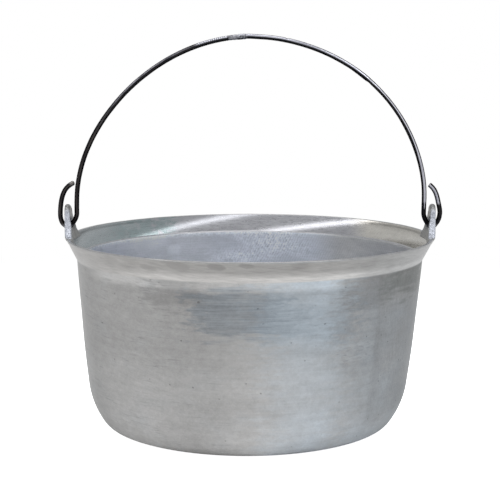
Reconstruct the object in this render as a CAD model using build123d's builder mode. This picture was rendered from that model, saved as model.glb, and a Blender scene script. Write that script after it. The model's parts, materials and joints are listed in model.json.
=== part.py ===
from build123d import *
from math import cos, pi, radians, sin
import os

# Open aluminium kettle with a flared collar, two ears standing on the rim and a
# bent steel wire bail that hooks through the ears and swings over the mouth.
#
# Frame: origin at the centre of the base underside, +Z up, ears on -X and +X,
# bail upright in the XZ plane. Millimetres.

os.makedirs("parts", exist_ok=True)

# ------------------------------------------------------------------ pot dimensions
rim_height = 178.5          # base underside to the top of the rim
rim_radius = 169.8          # outer edge of the flared collar
rim_land = 2.9              # width of the rim's top edge, before rounding
rim_edge_drop = 1.0         # height of the small bevel outside the rim's top
rim_edge_inset = 0.2        # and its width
rim_round = 0.8
collar_foot_radius = 160.3  # outside, where the collar springs from the wall
collar_foot_drop = 19.6     # and how far below the rim that is
collar_foot_round = 5.0
seat_drop = 16.6            # ledge for a lid at the foot of the inner cone
seat_outer_radius = 157.7
seat_inner_radius = 156.0
seat_round = 0.4
base_flat_radius = 109.1    # flat part of the underside and of the inside floor
wall_thickness = 4.0        # floor, corner and wall alike
# the corner is three tangent arcs: outside radius, slope in degrees where it ends
corner_arcs = [(52.7, 22.1), (16.8, 55.0), (74.4, 83.0)]
wall_points = [(153.3, 77.0), (156.3, 111.0)]  # outside radius and height

# ------------------------------------------------------------------ ear dimensions
ear_inner_radius = 166.5    # inside face of each ear, at the rim
ear_outer_radius = 171.4    # outside face, at the rim, a little proud of the collar
ear_lean = 0.8              # how far the ear leans out over its height
ear_height = 29.3           # above the rim
ear_hole_radius = 6.5
ear_hole_height = 10.9      # hole centre above the rim
ear_round = 1.1             # rounding of the ear's long edges
ear_hole_round = 1.3        # worn lip of the hole

# the ring that the ear is cut from, in section: radius, height above the rim
ear_ring_top = ear_height + 4.0  # spare height, trimmed away by the outline
ear_section = [
    (ear_inner_radius - 0.1, -4.0),
    (ear_inner_radius + ear_lean, ear_ring_top),
    (ear_outer_radius + ear_lean, ear_ring_top),
    (ear_outer_radius, 0.2),
    (ear_outer_radius - 0.5, -1.2),
    (rim_radius - 1.7, -3.4),
    (ear_inner_radius - 0.1, -4.0),
]

# half outline of the ear, foot to shoulder: distance from its middle, height above the rim
ear_side = [
    (27.0, 0.5), (24.4, 2.3), (20.8, 5.3), (17.4, 9.0),
    (14.2, 14.0), (11.6, 19.4), (10.3, 23.5),
]
ear_foot_direction = (-1, 0.35)       # of the outline where it leaves the foot
ear_shoulder_direction = (-0.16, 1)   # and where it reaches the shoulder
ear_outline_bottom = -6.0             # from the rim, below all of the ring

ear_cut_start = 150.0       # the outline is pushed outwards along X from here
ear_cut_depth = 30.0
hole_cutter_length = 60.0

# ------------------------------------------------------------------ bail dimensions
wire_radius = 2.25          # 4.5 mm wire
weld_left = (-12.0, 182.9)  # ends of the butt weld near the crown: x, height above rim
weld_right = (-4.2, 183.5)
weld_radius = 2.6           # the bead stands a little proud of the wire
weld_end_radius = wire_radius + 0.05
# both wire ends are square to the straight line across the weld
weld_slope = (weld_right[1] - weld_left[1]) / (weld_right[0] - weld_left[0])

# The rods are bent by hand and not quite symmetric. Points are (x, height above rim).
left_arch = [
    weld_left, (-24.2, 181.3), (-44.5, 176.3), (-63.8, 168.7), (-82.1, 158.7),
    (-99.1, 146.6), (-114.7, 132.6), (-128.6, 116.8), (-140.6, 99.6),
    (-150.2, 81.1), (-157.0, 61.5), (-160.6, 41.0), (-161.2, 21.0),
]
left_bend = [(-161.6, 18.2), (-162.7, 15.3), (-164.6, 12.35)]
left_rise = [
    (-174.4, 11.3), (-175.7, 13.8), (-176.4, 16.8), (-176.6, 20.5), (-176.2, 27.0),
    (-175.2, 33.6), (-173.3, 39.5), (-170.3, 44.3), (-166.6, 47.5), (-163.0, 49.4),
]
right_arch = [
    weld_right, (4.0, 183.4), (21.7, 182.0), (42.8, 177.8), (63.3, 171.1),
    (82.8, 161.9), (100.9, 150.4), (117.1, 136.5), (131.3, 120.5), (143.1, 102.6),
    (152.3, 83.1), (158.7, 62.6), (161.6, 41.5), (161.5, 21.0),
]
right_bend = [(161.8, 18.4), (162.8, 15.5), (164.5, 12.4)]
right_rise = [
    (174.0, 12.4), (175.4, 15.0), (176.3, 18.2), (176.6, 21.8), (175.8, 27.2),
    (174.5, 33.0), (172.8, 38.8), (170.2, 43.6), (166.1, 47.6),
]

# round bottom of each hook: bend radius, slope in degrees where it ends
hook_height = 8.2           # its lowest point, inside the ear's hole, above the rim
hook_in = (3.0, 53.13)      # towards the leg
left_hook_out = (4.4, 40.0)  # away from the leg
right_hook_out = (3.6, 54.0)
left_hook_x = -169.3        # x of the lowest point
right_hook_x = 169.1


# ------------------------------------------------------------------ helpers
def unit(x, y):
    """Direction (x, y) at length one."""
    length = (x * x + y * y) ** 0.5
    return (x / length, y / length)


def lifted(points):
    """Points given from the rim, as heights above the base."""
    return [(x, rim_height + z) for x, z in points]


def smooth_run(points, start, end):
    """Draw a curve through points that leaves along start and arrives along end."""
    return Spline(lifted(points), tangents=[unit(*start), unit(*end)], tangent_scalars=[1, 1])


def save(part, name):
    part.label = name
    export_step(part, f"parts/{name}.step")


# ------------------------------------------------------------------ pot casting
def rolled_corner(start, inset):
    """Draw the corner's arcs from start, each one tangent to the last; return the end."""
    here = Vector(*start)
    slope = 0.0
    for radius, end_slope in corner_arcs:
        radius -= inset
        centre = here + Vector(-sin(radians(slope)), cos(radians(slope))) * radius
        middle, end = (
            centre + Vector(sin(radians(angle)), -cos(radians(angle))) * radius
            for angle in ((slope + end_slope) / 2, end_slope)
        )
        ThreePointArc(here, middle, end)
        here, slope = end, end_slope
    return here


def make_pot():
    """One revolved wall: flat base, wide rolled corner, wall that opens slightly, collar.

    The inside follows the outside one wall thickness further in, up to the lid seat.
    """
    seat_height = rim_height - seat_drop
    collar_foot_height = rim_height - collar_foot_drop
    with BuildPart() as pot:
        with BuildSketch(Plane.XZ) as section:
            with BuildLine():
                Line((0, 0), (base_flat_radius, 0))
                outer_corner_top = rolled_corner((base_flat_radius, 0), 0)
                Polyline(
                    outer_corner_top,
                    *wall_points,
                    (collar_foot_radius, collar_foot_height),
                )
                Polyline(
                    (collar_foot_radius, collar_foot_height),
                    (rim_radius, rim_height - rim_edge_drop),
                    (rim_radius - rim_edge_inset, rim_height),
                    (rim_radius - rim_land, rim_height),
                    (seat_outer_radius, seat_height),
                    (seat_inner_radius, seat_height),
                )
                inner_corner_top = rolled_corner(
                    (base_flat_radius, wall_thickness), wall_thickness
                )
                Polyline(
                    (seat_inner_radius, seat_height),
                    *[(r - wall_thickness, z) for r, z in reversed(wall_points)],
                    inner_corner_top,
                )
                Polyline((base_flat_radius, wall_thickness), (0, wall_thickness), (0, 0))
            make_face()
            for height, radius in [
                (collar_foot_height, collar_foot_round),
                (rim_height, rim_round),
                (seat_height, seat_round),
            ]:
                fillet(
                    section.vertices().filter_by(lambda v: abs(v.Z - height) < 0.01),
                    radius=radius,
                )
        revolve(axis=Axis.Z)
    return pot.part


# ------------------------------------------------------------------ ears
def make_ear(pot):
    """The ear on +X: a curved plate concentric with the rim.

    A rounded tongue with one hole flares through concave sides into a long thin foot.
    Its inner face runs a little way down the inside of the collar.
    """
    foot, shoulder = ear_side[0], ear_side[-1]
    with BuildPart() as ear:
        with BuildSketch(Plane.XZ):
            with BuildLine():
                Polyline(*lifted(ear_section))
            make_face()
        revolve(axis=Axis.Z)

        # the outline, seen along X, keeps only the ear from the ring
        with BuildSketch(Plane.YZ.offset(ear_cut_start)):
            with BuildLine():
                plus_side = smooth_run(ear_side, ear_foot_direction, ear_shoulder_direction)
                ThreePointArc(
                    plus_side @ 1,
                    (0, rim_height + ear_height),
                    (-shoulder[0], rim_height + shoulder[1]),
                )
                # mirrored and drawn downwards, so only the tangents' heights change sign
                minus_side = smooth_run(
                    [(-y, z) for y, z in reversed(ear_side)],
                    (ear_shoulder_direction[0], -ear_shoulder_direction[1]),
                    (ear_foot_direction[0], -ear_foot_direction[1]),
                )
                Polyline(
                    minus_side @ 1,
                    (-foot[0], rim_height + ear_outline_bottom),
                    (foot[0], rim_height + ear_outline_bottom),
                    plus_side @ 0,
                )
            make_face()
        extrude(amount=ear_cut_depth, mode=Mode.INTERSECT)

        hole_centre = (ear_cut_start, 0, rim_height + ear_hole_height)
        with Locations(Plane(hole_centre, z_dir=(1, 0, 0))):
            Cylinder(ear_hole_radius, hole_cutter_length, mode=Mode.SUBTRACT)

        # edges are told apart by length: the outline's sides and top, then the hole's rims
        hole_edge = 2 * pi * ear_hole_radius
        fillet(
            ear.edges().filter_by(
                lambda e: 20 < e.length < 46
                and e.center().Z > rim_height + 3
                and abs(e.length - hole_edge) > 0.3
            ),
            radius=ear_round,
        )
        fillet(
            ear.edges().filter_by(
                lambda e: abs(e.length - hole_edge) < 0.2 and abs(e.center().Y) < 1
            ),
            radius=ear_hole_round,
        )
        # the foot fits the collar exactly
        add(pot, mode=Mode.SUBTRACT)
    return ear.part


def turned_half_round(part):
    with BuildPart() as turned:
        add(part, rotation=(0, 0, 180))
    return turned.part


# ------------------------------------------------------------------ bail
def around_bottom(bottom_x, radius, angle):
    """Point on the hook's round bottom, angle degrees from its lowest point."""
    turn = radians(angle)
    return (bottom_x + radius * sin(turn), hook_height + radius * (1 - cos(turn)))


def draw_hook(side, bend, bottom_x, hook_out, rise, tip_direction):
    """Draw the bend from the leg, the round bottom and the return to the wire's tip."""
    in_radius, in_angle = hook_in
    out_radius, out_angle = hook_out
    foot_in = around_bottom(bottom_x, in_radius, -side * in_angle)
    middle_in = around_bottom(bottom_x, in_radius, -side * in_angle / 2)
    lowest = (bottom_x, hook_height)
    middle_out = around_bottom(bottom_x, out_radius, side * out_angle / 2)
    foot_out = around_bottom(bottom_x, out_radius, side * out_angle)
    down = (side * cos(radians(in_angle)), -sin(radians(in_angle)))
    up = (side * cos(radians(out_angle)), sin(radians(out_angle)))
    smooth_run([*bend, foot_in], (0, -1), down)
    ThreePointArc(*lifted([foot_in, middle_in, lowest]))
    ThreePointArc(*lifted([lowest, middle_out, foot_out]))
    smooth_run([foot_out, *rise], up, tip_direction)


def make_rod(side, arch, bend, bottom_x, hook_out, rise, tip_direction):
    """Half the bail, from the weld to the wire's tip; side is -1 on -X, 1 on +X.

    A quarter of the arch, a straight leg inside the ear, then a V-shaped hook that
    passes outwards through the ear's hole and turns back up to the leg.
    """
    with BuildPart() as rod:
        with BuildLine(Plane.XZ) as path:
            crown = Spline(lifted(arch), tangents=[(side, side * weld_slope), (0, -1)])
            draw_hook(side, [arch[-1], *bend], bottom_x, hook_out, rise, tip_direction)
        with BuildSketch(Plane(crown @ 0, z_dir=crown % 0)):
            Circle(wire_radius)
        sweep(path=path.wires()[0])
    return rod.part


def make_weld():
    """A short barrel between the two flat wire ends."""
    start, end = (Vector(x, 0, z) for x, z in lifted([weld_left, weld_right]))
    axis = (end - start).normalized()
    length = (end - start).length
    with BuildPart() as weld:
        with BuildSketch(Plane(start, x_dir=axis, z_dir=(0, -1, 0))):
            with BuildLine():
                Line((0, 0), (0, weld_end_radius))
                ThreePointArc(
                    (0, weld_end_radius),
                    (length / 2, weld_radius),
                    (length, weld_end_radius),
                )
                Polyline((length, weld_end_radius), (length, 0), (0, 0))
            make_face()
        revolve(axis=Axis(start, axis))
    return weld.part


# ------------------------------------------------------------------ pieces
kettle_body = make_pot()
save(kettle_body, "kettle_body")

lug_right = make_ear(kettle_body)
save(lug_right, "lug_right")
save(turned_half_round(lug_right), "lug_left")

bail_wire_left = make_rod(
    side=-1,
    arch=left_arch,
    bend=left_bend,
    bottom_x=left_hook_x,
    hook_out=left_hook_out,
    rise=left_rise,
    tip_direction=(1, 0.4),
)
save(bail_wire_left, "bail_wire_left")

bail_wire_right = make_rod(
    side=1,
    arch=right_arch,
    bend=right_bend,
    bottom_x=right_hook_x,
    hook_out=right_hook_out,
    rise=right_rise,
    tip_direction=(-1, 0.75),
)
save(bail_wire_right, "bail_wire_right")

save(make_weld(), "bail_weld")
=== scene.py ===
"""An open cast aluminium kettle with a flared collar, an ear at each side and a bent wire bail.

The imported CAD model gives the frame, the sizes and the hinge. Each visible piece is a finer mesh of
the same shape and rides on its CAD body. The kettle stands on Z = 0 about the Z axis, the camera is
on the -Y side and the ears are at -X (left) and +X (right). Lengths are millimetres until a mesh is
made. Angles round the pot are 0 at the camera side and grow towards +X.
"""
import json
import math
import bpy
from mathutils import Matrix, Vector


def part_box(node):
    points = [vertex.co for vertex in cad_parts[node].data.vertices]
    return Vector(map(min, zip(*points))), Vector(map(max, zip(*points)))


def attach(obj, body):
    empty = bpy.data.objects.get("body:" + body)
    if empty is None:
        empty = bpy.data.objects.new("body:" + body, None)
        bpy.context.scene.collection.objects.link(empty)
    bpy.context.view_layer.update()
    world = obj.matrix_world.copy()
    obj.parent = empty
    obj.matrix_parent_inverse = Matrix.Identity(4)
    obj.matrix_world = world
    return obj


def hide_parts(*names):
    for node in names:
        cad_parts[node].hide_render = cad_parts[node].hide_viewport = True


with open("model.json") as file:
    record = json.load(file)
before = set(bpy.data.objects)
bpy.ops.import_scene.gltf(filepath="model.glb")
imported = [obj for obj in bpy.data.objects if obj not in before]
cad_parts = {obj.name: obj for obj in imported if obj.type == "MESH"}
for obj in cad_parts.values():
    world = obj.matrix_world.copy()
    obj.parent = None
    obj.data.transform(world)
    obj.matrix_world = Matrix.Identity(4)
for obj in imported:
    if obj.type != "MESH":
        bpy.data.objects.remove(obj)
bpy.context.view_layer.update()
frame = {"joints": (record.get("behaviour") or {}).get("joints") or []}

from types import SimpleNamespace

import bpy
import numpy as np
from mathutils import Vector

MM = 0.001
body_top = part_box("kettle_body")[1]
wire_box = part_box("bail_wire_left")
H = body_top.z / MM                                     # rim height
RIM_R = body_top.x / MM                                 # outer radius of the rim
HINGE = frame["joints"][0]["pos_m"][2] / MM - H         # hinge above the rim
WIRE_R = (wire_box[1].y - wire_box[0].y) / 2 / MM
EAR_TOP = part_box("lug_right")[1].z / MM - H             # above the rim

# pot
FLAT_R = 109.1          # radius of the flat base
FLOOR = 4.0             # thickness of the floor and the corner
CORNER_ARCS = ((52.7, 22.1), (16.8, 55.0), (74.4, 83.0))    # outside radius, end slope in degrees
SHIFT = 2.9             # how far the base hangs to the left of the rim
POT_SEGMENTS = 560

# ears
EAR_HOLE_Z, EAR_HOLE_R = 10.9, 6.5      # height above the rim
EAR_FOOT_Y = 27.0                       # half width at the foot
EAR_STEP = 0.42                         # grid step of the mesh
# half width and height above the rim, from the foot up to the round top
EAR_SIDE = [(EAR_FOOT_Y, 0.5), (24.4, 2.3), (20.8, 5.3), (17.4, 9.0), (14.2, 14.0), (11.6, 19.4),
            (10.3, 23.5)]

# bail: the weld's two ends, as x and height above the rim
WELD_L, WELD_R = (-12.0, 182.9), (-4.2, 183.5)


# ================================================================ helpers
def noise3(p, seed):
    """Smooth value noise, -1..1, one unit per cell, at the points p (n, 3)."""
    cell = np.floor(p).astype(np.int64)
    f = p - cell
    f = f * f * (3 - 2 * f)

    def corner(dx, dy, dz):
        n = ((cell[:, 0] + dx) * 374761393 + (cell[:, 1] + dy) * 668265263
             + (cell[:, 2] + dz) * 1442695041 + seed * 974711)
        n = (n ^ (n >> 13)) & 0xFFFFFFFF
        n = (n * 1274126177) & 0xFFFFFFFF
        n = n ^ (n >> 16)
        return (n & 0xFFFF) / 32767.5 - 1

    fx, fy, fz = f.T
    total = 0
    for dx, dy, dz in np.ndindex(2, 2, 2):
        weight = (fx if dx else 1 - fx) * (fy if dy else 1 - fy) * (fz if dz else 1 - fz)
        total = total + weight * corner(dx, dy, dz)
    return total


def smooth(value, start, end):
    t = np.clip((value - start) / (end - start), 0, 1)
    return t * t * (3 - 2 * t)


def spline(points, start_way, end_way, count):
    """Smooth cubic through points, spaced by chord length, with set end directions."""
    p = np.array(points, float)
    at = np.r_[0, np.cumsum(np.hypot(*np.diff(p, axis=0).T))]
    gap = np.diff(at)
    size = len(p)
    matrix = np.zeros((size, size))
    right = np.zeros((size, 2))
    matrix[0, 0] = matrix[-1, -1] = 1
    right[0] = np.array(start_way, float) / np.hypot(*start_way)
    right[-1] = np.array(end_way, float) / np.hypot(*end_way)
    for i in range(1, size - 1):
        before, after = gap[i - 1], gap[i]
        matrix[i, i - 1 : i + 2] = after, 2 * (after + before), before
        right[i] = 3 * (after * (p[i] - p[i - 1]) / before + before * (p[i + 1] - p[i]) / after)
    way = np.linalg.solve(matrix, right)
    t = np.linspace(0, at[-1], count)
    k = np.clip(np.searchsorted(at, t, side="right") - 1, 0, size - 2)
    s = ((t - at[k]) / gap[k])[:, None]
    span = gap[k][:, None]
    return (
        (2 * s**3 - 3 * s**2 + 1) * p[k]
        + (s**3 - 2 * s**2 + s) * span * way[k]
        + (-2 * s**3 + 3 * s**2) * p[k + 1]
        + (s**3 - s**2) * span * way[k + 1]
    )


def lengths(curve):
    return np.r_[0, np.cumsum(np.sqrt((np.diff(curve, axis=0) ** 2).sum(1)))]


def resample(curve, step):
    at = lengths(curve)
    count = max(2, int(round(at[-1] / step)) + 1)
    t = np.linspace(0, at[-1], count)
    return np.stack([np.interp(t, at, curve[:, i]) for i in range(curve.shape[1])], 1)


def rounded(a, corner, b, radius, count):
    """Arc in the corner between the directions to a and to b."""
    a, corner, b = (np.array(v, float) for v in (a, corner, b))
    to_a = (a - corner) / np.hypot(*(a - corner))
    to_b = (b - corner) / np.hypot(*(b - corner))
    half = math.acos(np.clip(to_a @ to_b, -1, 1)) / 2
    reach = radius / math.tan(half)
    middle = (to_a + to_b) / np.hypot(*(to_a + to_b))
    centre = corner + middle * radius / math.sin(half)
    first, last = (math.atan2(*(corner + way * reach - centre)[::-1]) for way in (to_a, to_b))
    turn = (last - first + math.pi) % (2 * math.pi) - math.pi
    return np.array([(centre[0] + radius * math.cos(first + turn * s),
                      centre[1] + radius * math.sin(first + turn * s))
                     for s in np.linspace(0, 1, count)])


def link(o):
    bpy.context.scene.collection.objects.link(o)
    return o


def mesh_object(name, verts, quads, tris=(), shade=True, **attributes):
    """Verts in millimetres; attributes are one float per vertex."""
    mesh = bpy.data.meshes.new(name)
    verts = np.asarray(verts, float) * MM
    quads = np.asarray(quads, int).reshape(-1, 4)
    tris = np.asarray(tris, int).reshape(-1, 3)
    mesh.vertices.add(len(verts))
    mesh.vertices.foreach_set("co", verts.astype(np.float32).ravel())
    loops = np.r_[quads.ravel(), tris.ravel()]
    mesh.loops.add(len(loops))
    mesh.loops.foreach_set("vertex_index", loops.astype(np.int32))
    mesh.polygons.add(len(quads) + len(tris))
    start = np.r_[np.arange(len(quads)) * 4, len(quads) * 4 + np.arange(len(tris)) * 3]
    mesh.polygons.foreach_set("loop_start", start.astype(np.int32))
    mesh.update(calc_edges=True)
    mesh.validate()
    mesh.polygons.foreach_set("use_smooth", [shade] * len(mesh.polygons))
    for key, values in attributes.items():
        data = mesh.attributes.new(key, "FLOAT", "POINT").data
        data.foreach_set("value", np.asarray(values, np.float32))
    mesh.update()
    return link(bpy.data.objects.new(name, mesh))


def capped_grid(rows, around):
    """Faces of rows of closed rings, with one pole vertex for each end after the last ring."""
    i, j = np.meshgrid(np.arange(rows - 1), np.arange(around), indexing="ij")
    k = (j + 1) % around
    here, above = i * around, (i + 1) * around
    quads = np.stack([here + j, here + k, above + k, above + j], -1).reshape(-1, 4)
    j = np.arange(around)
    k = (j + 1) % around
    last, pole = (rows - 1) * around, rows * around
    tris = np.r_[np.stack([np.full(around, pole), k, j], 1),
                 np.stack([last + j, last + k, np.full(around, pole + 1)], 1)]
    return quads, tris


def stand_for(o, node, body):
    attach(o, body)
    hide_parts(node)


# ================================================================ pot casting
def pot_corner(inset):
    """The rolled corner: tangent arcs, moved in from the outside by inset."""
    here, slope = np.array((FLAT_R, inset), float), 0.0
    out = [here[None]]
    for radius, end in CORNER_ARCS:
        radius -= inset
        tilt = math.radians(slope)
        centre = here + radius * np.array([-math.sin(tilt), math.cos(tilt)])
        t = np.radians(np.linspace(slope, end, 24))
        arc = centre + radius * np.c_[np.sin(t), -np.cos(t)]
        out.append(arc[1:])
        here, slope = arc[-1], end
    return np.concatenate(out)


def pot_section():
    """Half section (radius, height) from the base centre, up outside and down inside to the floor,
    and the arc length at which each zone starts."""
    foot, rim_out = (160.3, H - 19.6), (RIM_R, H - 1.0)
    rim_a, rim_b = (RIM_R - 0.2, H), (RIM_R - 2.9, H)
    seat_a, seat_b = (157.7, H - 16.6), (156.0, H - 16.6)
    out_corner, in_corner = pot_corner(0), pot_corner(FLOOR)
    out_wall = spline([tuple(out_corner[-1]), (153.3, 77), (156.3, 111), (158.8, 139), foot],
                      (0.1219, 0.9925), (0.075, 1), 90)
    in_wall = spline([seat_b, (154.7, 139), (152.3, 111), (149.3, 77), tuple(in_corner[-1])],
                     (-0.06, -1), (-0.1219, -0.9925), 90)
    foot_arc = rounded(out_wall[-8], foot, rim_out, 5.0, 10)
    rim_outer = np.r_[rounded(foot, rim_out, rim_a, 0.6, 4), rounded(rim_out, rim_a, rim_b, 0.7, 7)]
    rim_inner = rounded(rim_a, rim_b, seat_a, 0.8, 8)
    seat = np.r_[rounded(rim_b, seat_a, seat_b, 0.4, 5), rounded(seat_a, seat_b, in_wall[8], 0.4, 5)]
    below_foot = out_wall[out_wall[:, 1] < foot_arc[0][1] - 0.4]
    below_seat = in_wall[in_wall[:, 1] < seat[-1][1] - 0.4]
    # zone, curve, step
    chain = [
        ("base", np.array([(0, 0), (FLAT_R, 0)]), 3.0),
        ("corner", out_corner, 1.3),
        ("wall", np.r_[below_foot, foot_arc[:1]], 1.7),
        ("foot", foot_arc, 0.6),
        ("collar", np.array([foot_arc[-1], rim_outer[0]]), 0.8),
        ("rim_outer", rim_outer, 0.2),
        ("rim", np.array([rim_outer[-1], rim_inner[0]]), 0.35),
        ("rim_inner", rim_inner, 0.2),
        ("cone", np.array([rim_inner[-1], seat[0]]), 0.7),
        ("seat", seat, 0.25),
        ("inner", np.r_[seat[-1:], below_seat], 1.7),
        ("in_corner", in_corner[::-1], 1.3),
        ("floor", np.array([(FLAT_R, FLOOR), (0, FLOOR)]), 3.0),
    ]
    parts = []
    for _, curve, step in chain:
        curve = resample(curve, step)
        if parts and np.hypot(*(curve[0] - parts[-1][-1])) < 1e-6:
            curve = curve[1:]
        parts.append(curve)
    section = np.concatenate(parts)
    along = lengths(section)
    starts = {zone: float(along[np.hypot(*(section - curve[0]).T).argmin()])
              for zone, curve, _ in chain}
    return section, along, SimpleNamespace(**starts)


SECTION, ALONG, ZONE = pot_section()

# grinding hollows along the collar: angle, distance below the rim, half width, half height, depth
SCOOPS = [(-21, 6, 11, 4.5, .30), (-9.5, 5.0, 8.5, 3.6, .34), (-1.0, 3.4, 7.5, 2.6, .32),
          (5.5, 7, 8, 4, .14), (-33, 9, 10, 4, .22), (-45, 6, 12, 5, .16), (18, 5, 10, 4, .14),
          (31, 8, 12, 4, .16), (48, 6, 10, 5, .12), (-62, 7, 9, 5, .14), (66, 7, 9, 4, .12)]
SCOOPS += [(95 + 17 * k + 5 * math.sin(3.1 * k), 6 + 2.5 * math.sin(5.3 * k), 10, 4, .16)
           for k in range(1, 11)]


def uneven(theta, r, z, prof):
    """How far the hand-finished casting stands off its true section, along the radius and Z."""
    p = np.stack([r * np.sin(theta), -r * np.cos(theta), z], 1)
    deg = np.degrees(theta)
    # nothing moves near the ears
    clear = smooth(np.abs(np.abs((deg + 180) % 360 - 180) - 90), 17, 26)
    wall = smooth(prof, ZONE.corner + 8, ZONE.corner + 40)
    wall = wall * (1 - smooth(prof, ZONE.foot - 6, ZONE.foot + 2))
    inner = smooth(prof, ZONE.inner, ZONE.inner + 12)
    inner = inner * (1 - smooth(prof, ZONE.in_corner + 20, ZONE.floor))
    dr = 0.20 * noise3(p / 46, 3) * wall + 0.07 * noise3(p / np.array([17, 17, 9]), 5) * wall
    dr = dr + 0.10 * noise3(p / 38, 9) * inner
    # slanted scoops in the collar
    collar = smooth(prof, ZONE.foot + 1.5, ZONE.collar + 3)
    collar = collar * (1 - smooth(prof, ZONE.rim_outer - 1.2, ZONE.rim_outer))
    down = ZONE.rim_outer - prof
    for centre, drop, half_width, half_height, depth in SCOOPS:
        across = ((deg - centre + 180) % 360 - 180) * math.pi / 180 * 165
        q = (across / half_width) ** 2 + ((down - drop - 0.10 * across) / half_height) ** 2
        dr = dr - depth * np.clip(1 - q, 0, 1) ** 1.5 * collar
    # waviness of the lip
    lip = smooth(prof, ZONE.collar + 6, ZONE.rim_outer)
    lip = lip * (1 - smooth(prof, ZONE.cone, ZONE.cone + 6))
    dz = lip * (0.13 * noise3(p / 24, 12) + 0.05 * noise3(p / 7, 14))
    dr = dr + lip * (0.12 * noise3(p / 31, 21) + 0.06 * noise3(p / 8, 22))
    return dr * clear, dz * clear


def build_pot():
    rings = SECTION[1:-1]
    theta = np.tile(np.arange(POT_SEGMENTS) * 2 * math.pi / POT_SEGMENTS, len(rings))
    r, z, prof = (np.repeat(v, POT_SEGMENTS) for v in (rings[:, 0], rings[:, 1], ALONG[1:-1]))
    dr, dz = uneven(theta, r, z, prof)
    r, z = r + dr, np.maximum(z + dz, 0)
    verts = np.stack([r * np.sin(theta) - SHIFT * (1 - z / H), -r * np.cos(theta), z], 1)
    verts = np.r_[verts, [(-SHIFT, 0, 0), (-SHIFT, 0, SECTION[-1][1])]]
    quads, tris = capped_grid(len(rings), POT_SEGMENTS)
    pot = mesh_object("pot_casting", verts, quads, tris, prof=np.r_[prof, 0, ALONG[-1]])
    stand_for(pot, "kettle_body", "kettle")


build_pot()


# ================================================================ ears
def polygon_distance(points, polygon):
    """Signed distance (negative inside) from points (n, 2) to a closed polygon (m, 2)."""
    px, py = points[:, 0], points[:, 1]
    best = np.full(len(points), 1e9)
    odd = np.zeros(len(points), bool)
    for (x0, y0), (x1, y1) in zip(polygon, np.roll(polygon, -1, 0)):
        dx, dy = x1 - x0, y1 - y0
        if dx == 0 and dy == 0:     # a doubled point has no direction
            continue
        t = np.clip(((px - x0) * dx + (py - y0) * dy) / (dx * dx + dy * dy), 0, 1)
        best = np.minimum(best, (px - x0 - t * dx) ** 2 + (py - y0 - t * dy) ** 2)
        if dy != 0:
            odd ^= ((y0 > py) != (y1 > py)) & (px < dx * (py - y0) / dy + x0)
    return np.where(odd, -1, 1) * np.sqrt(best)


class DistanceTable:
    """Distance to a polygon, kept on a grid and read back by linear interpolation."""

    def __init__(self, polygon, low, high, step=0.2):
        self.low, self.step = np.array(low, float), step
        n = np.ceil((np.array(high) - low) / step).astype(int) + 1
        u, v = np.meshgrid(*(low[i] + step * np.arange(n[i]) for i in (0, 1)), indexing="ij")
        self.grid = polygon_distance(np.stack([u.ravel(), v.ravel()], 1), polygon).reshape(n)

    def __call__(self, u, v):
        grid = self.grid
        a = np.clip((u - self.low[0]) / self.step, 0, grid.shape[0] - 1.001)
        b = np.clip((v - self.low[1]) / self.step, 0, grid.shape[1] - 1.001)
        i, j = a.astype(int), b.astype(int)
        s, t = a - i, b - j
        near = grid[i, j] * (1 - s) + grid[i + 1, j] * s
        far = grid[i, j + 1] * (1 - s) + grid[i + 1, j + 1] * s
        return near * (1 - t) + far * t


def surface_net(field, low, high, step):
    """Closed quad surface where field is zero, by naive surface nets, then pulled onto field."""
    low, high = np.array(low, float), np.array(high, float)
    size = np.ceil((high - low) / step).astype(int) + 1
    axes = [low[a] + step * np.arange(size[a]) for a in range(3)]
    grid = np.stack(np.meshgrid(*axes, indexing="ij"), -1)
    value = field(grid.reshape(-1, 3)).reshape(size)
    inside = value < 0
    cells = tuple(size - 1)
    total, count = np.zeros(cells + (3,)), np.zeros(cells)
    others = [(1, 2), (0, 2), (0, 1)]
    crossings = []
    # each cell's vertex is the mean of the crossings on its edges
    for axis, (o1, o2) in enumerate(others):
        near, far = [slice(None)] * 3, [slice(None)] * 3
        near[axis], far[axis] = slice(0, -1), slice(1, None)
        near, far = tuple(near), tuple(far)
        v0, v1 = value[near], value[far]
        crossing = inside[near] != inside[far]
        t = np.where(crossing, v0 / np.where(crossing, v0 - v1, 1), 0)
        place = grid[near].copy()
        place[..., axis] += t * step
        crossings.append(crossing)
        for d1, d2 in np.ndindex(2, 2):
            part = [slice(None)] * 3
            part[o1] = slice(d1, d1 + cells[o1])
            part[o2] = slice(d2, d2 + cells[o2])
            hit = crossing[tuple(part)]
            total += place[tuple(part)] * hit[..., None]
            count += hit
    used = count > 0
    index = np.full(cells, -1)
    index[used] = np.arange(used.sum())
    verts = total[used] / count[used][:, None]
    # each crossed edge joins the four cells round it
    quads = []
    for axis, (o1, o2) in enumerate(others):
        part = [slice(None)] * 3
        part[o1] = part[o2] = slice(1, -1)
        keep = np.zeros_like(crossings[axis])
        keep[tuple(part)] = True
        at = np.argwhere(crossings[axis] & keep)
        first = inside[tuple(at.T)]
        face = []
        for d1, d2 in ((1, 1), (0, 1), (0, 0), (1, 0)):
            cell = at.copy()
            cell[:, o1] -= d1
            cell[:, o2] -= d2
            face.append(index[tuple(cell.T)])
        face = np.stack(face, 1)
        back = first if axis == 1 else ~first
        face[back] = face[back][:, ::-1]
        quads.append(face)
    nudge = 0.02 * np.eye(3)
    for _ in range(3):
        d = field(verts)
        grad = np.stack([field(verts + e) - field(verts - e) for e in nudge], 1) / (2 * 0.02)
        pull = np.clip(d, -step, step)[:, None] * grad
        verts = verts - pull / np.maximum((grad**2).sum(1), 0.2)[:, None]
    return verts, np.concatenate(quads)


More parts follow.
